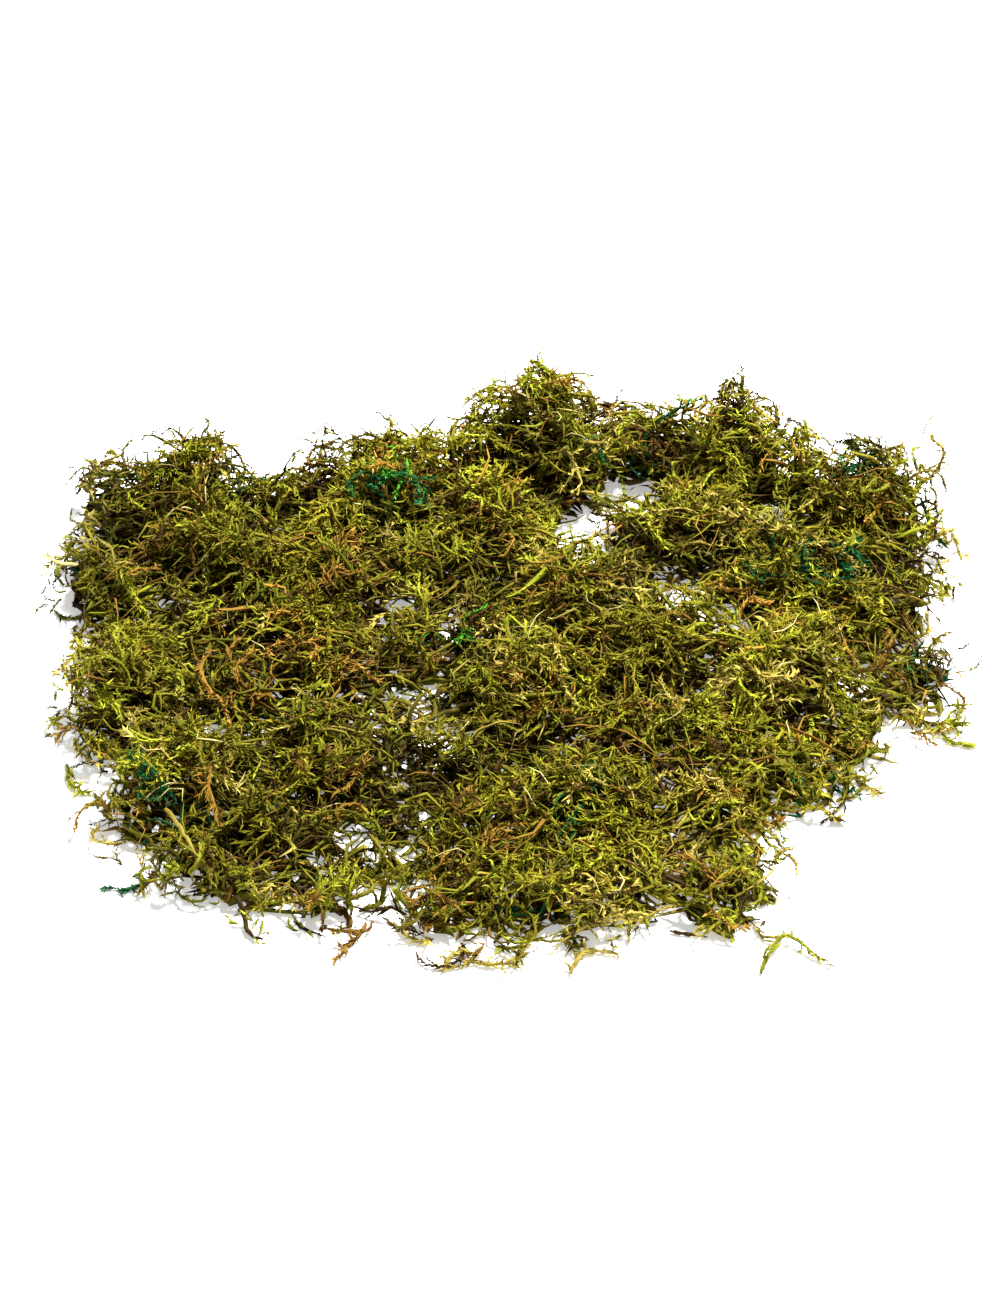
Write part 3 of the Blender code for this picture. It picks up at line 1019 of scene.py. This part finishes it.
def make_moss(rng):
    """The mat's shoots, as one piece for each tuft, and then the sprigs."""
    names = sorted(name for name in frame["nodes"] if name.startswith("tuft_"))
    slots = {part["node"]: part["material_slot"] for part in frame["record"]["subparts"]}
    mat = survey_mat([frame["nodes"][name] for name in names], rng)
    groups = []
    for layer in (LITTER, THATCH, UNDERGROWTH, CANOPY, ROPES, FRINGE, BARE_STEMS, STRAWS):
        groups += grow_layer(mat, rng, layer, [slots[name] for name in names])
    tree = build_shoot_tree()
    finishes = {slot: make_shoot_finish(slot) for slot in sorted(set(slots.values()))}
    for order, name in enumerate(names):
        batches = [picked(group, group.owner == order) for group in groups]
        mesh = strand_mesh(name, batches, rng)
        settings = {**SHOOT_SETTINGS, "Finish": finishes[slots[name]]}
        piece = dress(name.replace("tuft_", "shoots_"), mesh, tree, settings)
        rest_on_floor(piece.data)
        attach(piece, "root")
        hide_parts(name)
    make_sprigs(tree, finishes, slots, rng)


# ---------------------------------------------------------------- sprigs, stems and straws, one by one

Sprig = namedtuple("Sprig", "name thickness kind family shade places")
SPRIGS = (  # places are (x, y, height over what lies under it), in millimetres, as in the CAD
    Sprig("sprig_tall_back_right", 1.0, "straw", "straw", 4,
          ((121, 61, 17), (121, 61, 26), (123, 61, 34), (126, 61, 38))),
    Sprig("sprig_far_right_spray", 1.2, "leafy", "golden", 4,
          ((120, 54, 15), (125, 54, 21), (127, 54, 28), (123, 54, 33))),
    Sprig("sprig_right_hanging", 1.0, "leafy", "dark_green", 3,
          ((121, 48, 16), (123, 46, 11), (126, 44, 6), (128, 42, 4))),
    Sprig("sprig_right_feather", 1.4, "leafy", "golden", 5, ((123, 30, 6), (127, 31, 8), (133, 32, 7))),
    Sprig("straw_right_end", 1.0, "straw", "straw", 4, ((124, 22, 5), (127, 24, 6), (131, 26, 5))),
    Sprig("straw_left_end", 1.3, "straw", "straw", 4, ((-118, 17, 0), (-124, 16, 2), (-131, 16, 8))),
    Sprig("stem_dark_back_left", 1.0, "bare", "dark_brown", 2,
          ((-66, 57, 0), (-63, 59, 3), (-61, 60, 7), (-59, 60, 10))),
    Sprig("stem_tan_curved", 1.7, "leafy", "tan", 5,
          ((-78, -19, 0), (-80, -27, 0), (-77, -37, 0), (-72, -48, 0), (-70, -55, 0))),
    Sprig("stem_tan_short", 1.7, "leafy", "tan", 5, ((-73, -76, 0), (-73, -82, 0), (-70, -92, 0))),
    Sprig("straw_front_left", 1.2, "straw", "golden", 4, ((-84, -86, 0), (-80, -92, 0), (-75, -99, 0))),
    Sprig("sprig_grey_green_curl", 1.2, "leafy", "dark_green", 4,
          ((-86, -93, 0), (-90, -97, 0), (-93, -99, 0), (-99, -98, 0))),
    Sprig("root_brown_hooked", 1.8, "bare", "dark_brown", 3,
          ((-65, -107, 0), (-63, -111, 0), (-61, -116, 0), (-58, -117, 0))),
    Sprig("needle_dark", 0.9, "bare", "dark_brown", 2, ((-51, -110, 0), (-48, -113, 0), (-42, -116, 0))),
    Sprig("sprig_brown_hooked", 1.5, "bare", "tan", 2,
          ((-40, -105, 0), (-38, -108, 0), (-37, -113, 0), (-41, -112, 0))),
    Sprig("sprig_green_forked", 1.8, "leafy", "olive", 4,
          ((-35, -107, 0), (-31, -105, 0), (-27, -101, 0), (-24, -99, 0))),
    Sprig("sprig_tan_loose", 1.6, "leafy", "tan", 5,
          ((-33, -111, 0), (-35, -116, 0), (-38, -120, 0), (-40, -124, 0))),
    Sprig("sprig_front_left_twin", 1.5, "leafy", "golden", 4,
          ((-14, -128, 0), (-12, -123, 0), (-9, -121, 0))),
    Sprig("sprig_front_right_twin", 1.8, "leafy", "golden", 5,
          ((-8, -125, 0), (-2, -126, 0), (3, -125, 0), (6, -120, 0))),
    Sprig("sprig_front_tan", 1.6, "leafy", "golden", 5,
          ((17, -129, 0), (19, -124, 0), (22, -121, 0), (28, -122, 0))),
    Sprig("sprig_arching_right", 1.5, "leafy", "yellow_green", 5,
          ((63, -129, 0), (66, -122, 1), (70, -117, 2), (75, -121, 1), (80, -126, 0))),
    Sprig("bark_sliver", 1.4, "bark", "dark_brown", 4, ((42, -114, 0), (46, -115, 0), (51, -116, 0))),
    Sprig("stem_reddish", 1.0, "bare", "tan", 3, ((71, -50, 0), (77, -53, 0), (85, -58, 0), (93, -63, 1))),
    Sprig("straw_right_front", 1.1, "straw", "golden", 4, ((96, -47, 0), (101, -48, 0), (106, -51, 0))),
    Sprig("sprig_right_small", 1.3, "leafy", "golden", 4, ((93, -57, 0), (96, -60, 0), (99, -62, 0))),
    Sprig("bud_brown", 2.4, "bark", "dark_brown", 5, ((85, -73, 0), (87, -73, 0), (89, -74, 0))),
    Sprig("sprig_yellow_left", 1.8, "leafy", "yellow_green", 6,
          ((-114, -51, 0), (-113, -57, 0), (-110, -61, 0), (-107, -62, 0))),
    Sprig("sprig_far_right_low", 1.3, "leafy", "yellow_green", 5,
          ((118, -38, 0), (120, -41, 0), (125, -43, 0))),
)
SPRIG_POINTS = 12
STANDING_RISE = 5  # a sprig that rises more than this stands up, and does not follow what lies under it
SPRIG_SETTINGS = {
    "leafy": {"Leaf Length": 2.4 * MM, "Leaf Width": 1.1 * MM, "Leaf Spacing": 0.55 * MM, "Leaf Spread": 0.5},
    "bare": {"Leaf Spacing": 1.0 * MM},
    "straw": {"Leaf Spacing": 1.0 * MM, "Core Flatness": 0.25},
    "bark": {"Leaf Spacing": 1.0 * MM, "Core Flatness": 0.45},
}


def smooth_route(places, count):
    """Evenly numbered points along a Catmull-Rom curve through the places."""
    ends = np.array([places[0], *places, places[-1]], float)
    route = []
    for place in np.linspace(0, len(places) - 1.0001, count):
        span = int(place)
        t = place - span
        before, start, end, after = ends[span : span + 4]
        bend = 2 * before - 5 * start + 4 * end - after
        twist = 3 * start - before - 3 * end + after
        route.append(0.5 * (2 * start + (end - before) * t + bend * t * t + twist * t * t * t))
    return np.array(route)


def sprig_route(sprig, rng):
    """The sprig's path: over its CAD solid's middle, with the small kinks of something dry."""
    route = smooth_route(sprig.places, SPRIG_POINTS)
    points = (route - (*BOX_MIDDLE, 0.0)) * MM
    solid = np.array([vertex.co for vertex in frame["nodes"][sprig.name].data.vertices])
    heights = route[:, 2]
    if np.ptp(heights) > STANDING_RISE:
        points[:, 2] += solid[:, 2].min() - heights.min() * MM + 0.5 * sprig.thickness * MM
    else:
        apart = np.hypot(points[:, 0:1] - solid[:, 0], points[:, 1:2] - solid[:, 1])
        nearest = np.argsort(apart, axis=1)[:, :24]
        points[:, 2] = solid[nearest, 2].mean(axis=1)
    points[:, :2] += rng.normal(0, 0.16 * MM, (SPRIG_POINTS, 2))
    return points


def make_sprig(sprig, tree, finish, rng):
    """A leafy shoot with side shoots, a bare stem with stubs, a flat straw or a sliver of bark."""
    route = sprig_route(sprig, rng)[None]
    half = 0.5 * sprig.thickness * MM
    leafy = 1.0 if sprig.kind == "leafy" else 0.0
    core = 0.7 * half if leafy else half
    family = np.array([float(FAMILIES.index(sprig.family))])
    shade = np.array([float(sprig.shade)])
    owner = np.zeros(1, int)
    main = widths(rng, 1, SPRIG_POINTS, np.array([core]))
    batches = [Strands(route, main, family, shade, np.array([leafy]), np.array([leafy]), owner)]
    side_shoots = {"leafy": 7, "bare": 3}.get(sprig.kind, 0)
    if side_shoots:
        length = np.array([4.2 * MM if leafy else 1.8 * MM])
        sides = grow_branchlets(rng, route, side_shoots, length, 4, 0.7)
        many = np.ones(side_shoots)
        side_widths = widths(rng, side_shoots, 5, many * core * 0.7)
        batches.append(
            Strands(
                sides, side_widths, many * family, many * shade, many * leafy * 0.75, many * leafy,
                np.zeros(side_shoots, int),
            )
        )
    mesh = strand_mesh(sprig.name, batches, rng)
    settings = {**SHOOT_SETTINGS, "Core Sides": 7, **SPRIG_SETTINGS[sprig.kind], "Finish": finish}
    name = sprig.name + "_shoot" if leafy else sprig.name + "_piece"
    piece = dress(name, mesh, tree, settings)
    rest_on_floor(piece.data)
    return piece


def make_sprigs(tree, finishes, slots, rng):
    for sprig in SPRIGS:
        slot = slots[sprig.name]
        piece = make_sprig(sprig, tree, finishes[slot], rng)
        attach(piece, "root")
        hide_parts(sprig.name)


rng = np.random.default_rng(SEED)
make_camera()
make_studio()
make_moss(rng)
